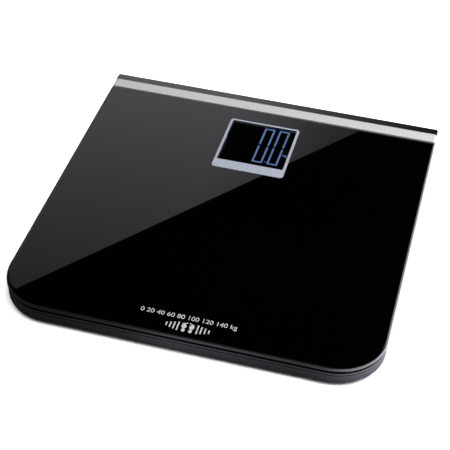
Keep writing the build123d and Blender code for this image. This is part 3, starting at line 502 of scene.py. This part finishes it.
def make_sweep():
    material, strength = emitter("sweep", SWEEP_TINT)
    tree = material.node_tree
    left, right = SWEEP_LIGHT_STOPS[0][0], SWEEP_LIGHT_STOPS[-1][0]
    brightest = SWEEP_LIGHT_STOPS[-1][1]
    ramp = add_node(tree, "ShaderNodeValToRGB")
    stops = ramp.color_ramp.elements
    while len(stops) < len(SWEEP_LIGHT_STOPS):
        stops.new(1.0)
    for stop, (distance, brightness) in zip(stops, SWEEP_LIGHT_STOPS):
        stop.position = (distance - left) / (right - left)
        stop.color = (*grey(brightness / brightest), 1)
    # painted light: the sweep glows brighter towards the right, as if lit by a lamp there
    across = axes_of(tree, place_of(tree))["X"]
    feed(tree, map_range(tree, across, left, right, 0, 1), ramp.inputs["Fac"])
    brightness = calculate(tree, "MULTIPLY", ramp.outputs["Color"], brightest)
    # painted shadow: each ring's share darkens the sweep under and near the scale's edge
    shade_share = add_node(tree, "ShaderNodeAttribute", attribute_name="shade_share").outputs["Fac"]
    feed(tree, calculate(tree, "MULTIPLY", brightness, shade_share), strength)
    rings = [around_scale(reach) for reach, _ in SWEEP_SHADE_RINGS]
    count = len(rings[0])
    faces = []
    for inner in range(0, count * (len(rings) - 1), count):
        for i in range(count):
            j = (i + 1) % count
            faces.append([inner + i, inner + count + i, inner + count + j, inner + j])
    sweep = stage_plane("sweep", [point for points in rings for point in points], material, faces)
    shade_shares = sweep.data.attributes.new("shade_share", "FLOAT", "POINT")
    shade_shares.data.foreach_set("value", [part for _, part in SWEEP_SHADE_RINGS for _ in range(count)])
    sweep.visible_camera = False
    sweep.visible_diffuse = False
    sweep.visible_transmission = False
    sweep.visible_shadow = False


# BACK points from AIM to the camera
AZIMUTH, ELEVATION, ROLL = math.radians(13.81), math.radians(41.52), math.radians(1.80)
DISTANCE = 1.0573
SENSOR_WIDTH, FOCAL_LENGTH = 36, 103.05
NEAREST, FARTHEST = 0.05, 60
AIM = Vector((0.00027, -0.0254, TOP))
BACK = Vector((
    math.sin(AZIMUTH) * math.cos(ELEVATION), -math.cos(AZIMUTH) * math.cos(ELEVATION), math.sin(ELEVATION)
))


def make_camera():
    data = bpy.data.cameras.new("camera")
    data.sensor_width = SENSOR_WIDTH
    data.lens = FOCAL_LENGTH
    data.clip_start, data.clip_end = NEAREST, FARTHEST
    camera = bpy.data.objects.new("camera", data)
    bpy.context.scene.collection.objects.link(camera)
    level = Vector((math.cos(AZIMUTH), math.sin(AZIMUTH), 0))
    rise = level.cross(-BACK)
    right = math.cos(ROLL) * level + math.sin(ROLL) * rise
    up = math.cos(ROLL) * rise - math.sin(ROLL) * level
    turn = Matrix((right, up, BACK)).transposed().to_4x4()
    camera.matrix_world = Matrix.Translation(AIM + DISTANCE * BACK) @ turn
    bpy.context.scene.camera = camera


# A pale card hangs behind and above the scale. The glass mirrors it, and the edge of the card
# is the diagonal line across the platform. The card is level, so the mirrored layout is the
# glass's own layout, enlarged from the eye's image below the glass.
CARD_SCALE = 3.0
CARD_TINT = (1.0, 0.944, 1.028)
EYE_IMAGE = Vector((0.1896, -0.7935, TOP - 0.7008))
# Two points of the diagonal on the glass, and how far the card reaches past them and outwards
DIAGONAL_NEAR, DIAGONAL_FAR = Vector((-0.136, -0.1435)), Vector((0.083, 0.1321))
CARD_PAST, CARD_OUT = 0.25, 0.6
# It is dimmer towards the front of the glass and towards the right: (place on the glass, brightness)
CARD_FRONT, CARD_REAR = (-0.15, 0.28), (0.15, 0.97)
CARD_LEFT, CARD_RIGHT = (-0.04, 1.0), (0.08, 0.32)
# A second card stands behind to the right. It draws the light line along the glass's right edge.
SIDE_GLOW = 2.8
SIDE_X = 0.7
SIDE_Y = (0.3, 1.1)
SIDE_Z = (0.12, 0.6)


def on_card(x, y):
    """Where the card hangs to be mirrored at (x, y) on the glass."""
    return EYE_IMAGE + CARD_SCALE * (Vector((x, y, TOP)) - EYE_IMAGE)


def hang_card(name, corners, material):
    """A card that only mirroring surfaces see."""
    card = stage_plane(name, corners, material)
    card.visible_camera = False
    card.visible_diffuse = False
    return card


def make_card():
    along = (DIAGONAL_FAR - DIAGONAL_NEAR).normalized()
    outward = Vector((-along.y, along.x))
    a, b = DIAGONAL_NEAR - CARD_PAST * along, DIAGONAL_FAR + CARD_PAST * along
    c, d = b + CARD_OUT * outward, a + CARD_OUT * outward
    material, strength = emitter("card", CARD_TINT)
    tree = material.node_tree
    place = axes_of(tree, place_of(tree))
    start, stop = on_card(0, CARD_FRONT[0]).y, on_card(0, CARD_REAR[0]).y
    rearward = map_range(tree, place["Y"], start, stop, CARD_FRONT[1], CARD_REAR[1])
    start, stop = on_card(CARD_LEFT[0], 0).x, on_card(CARD_RIGHT[0], 0).x
    rightward = map_range(tree, place["X"], start, stop, CARD_LEFT[1], CARD_RIGHT[1], "SMOOTHSTEP")
    feed(tree, calculate(tree, "MULTIPLY", rearward, rightward), strength)
    hang_card("card", [on_card(*p) for p in (a, b, c, d)], material)


def make_side_card():
    (near, far), (low, high) = SIDE_Y, SIDE_Z
    corners = [(SIDE_X, near, low), (SIDE_X, far, low), (SIDE_X, far, high), (SIDE_X, near, high)]
    material, _ = emitter("side_card", CARD_TINT, SIDE_GLOW)
    hang_card("side_card", corners, material).visible_shadow = False


def area_light(name, place, size, power):
    """A rectangular lamp that faces the middle of the scale and isn't mirrored in it."""
    data = bpy.data.lights.new(name, "AREA")
    data.shape = "RECTANGLE"
    data.size, data.size_y = size
    data.energy = power
    light = bpy.data.objects.new(name, data)
    bpy.context.scene.collection.objects.link(light)
    light.location = place
    light.rotation_euler = Vector(place).to_track_quat("Z", "Y").to_euler()
    light.visible_camera = False
    light.visible_glossy = False


# Brightness of each glow, and where it starts and is full, along the upward or rearward axis
HORIZON_GLOW, HORIZON_START, HORIZON_FULL = 0.22, 0.5, 0.0
FRONT_GLOW, FRONT_START, FRONT_FULL = 0.14, -0.4, -0.95


def make_world():
    """White to the camera. To the scale it glows dimly along the horizon and towards the front."""
    world = bpy.data.worlds.new("studio")
    world.use_nodes = True
    tree = world.node_tree
    way = axes_of(tree, place_of(tree, "Generated"))
    horizon = map_range(tree, way["Z"], HORIZON_START, HORIZON_FULL, 0.0, HORIZON_GLOW, "SMOOTHSTEP")
    front = map_range(tree, way["Y"], FRONT_START, FRONT_FULL, 0.0, FRONT_GLOW, "SMOOTHSTEP")
    above = calculate(tree, "GREATER_THAN", way["Z"], 0.0)
    lit = calculate(tree, "MULTIPLY", calculate(tree, "ADD", horizon, front), above)
    seen = add_node(tree, "ShaderNodeLightPath").outputs["Is Camera Ray"]
    background = tree.nodes["Background"]
    feed(tree, calculate(tree, "MAXIMUM", lit, seen), background.inputs["Strength"])
    feed(tree, (1, 1, 1, 1), background.inputs["Color"])
    bpy.context.scene.world = world


make_floor()
make_sweep()
make_card()
make_side_card()
make_world()
area_light("overhead", place=(0.2, -0.3, 1.9), size=(2.2, 1.8), power=90)
area_light("right_box", place=(1.7, 0.1, 0.9), size=(1.2, 1.2), power=35)
area_light("rear_right_box", place=(0.4, 0.15, 0.35), size=(0.3, 0.3), power=3.6)
make_camera()
bpy.context.scene.view_settings.view_transform = "Standard"
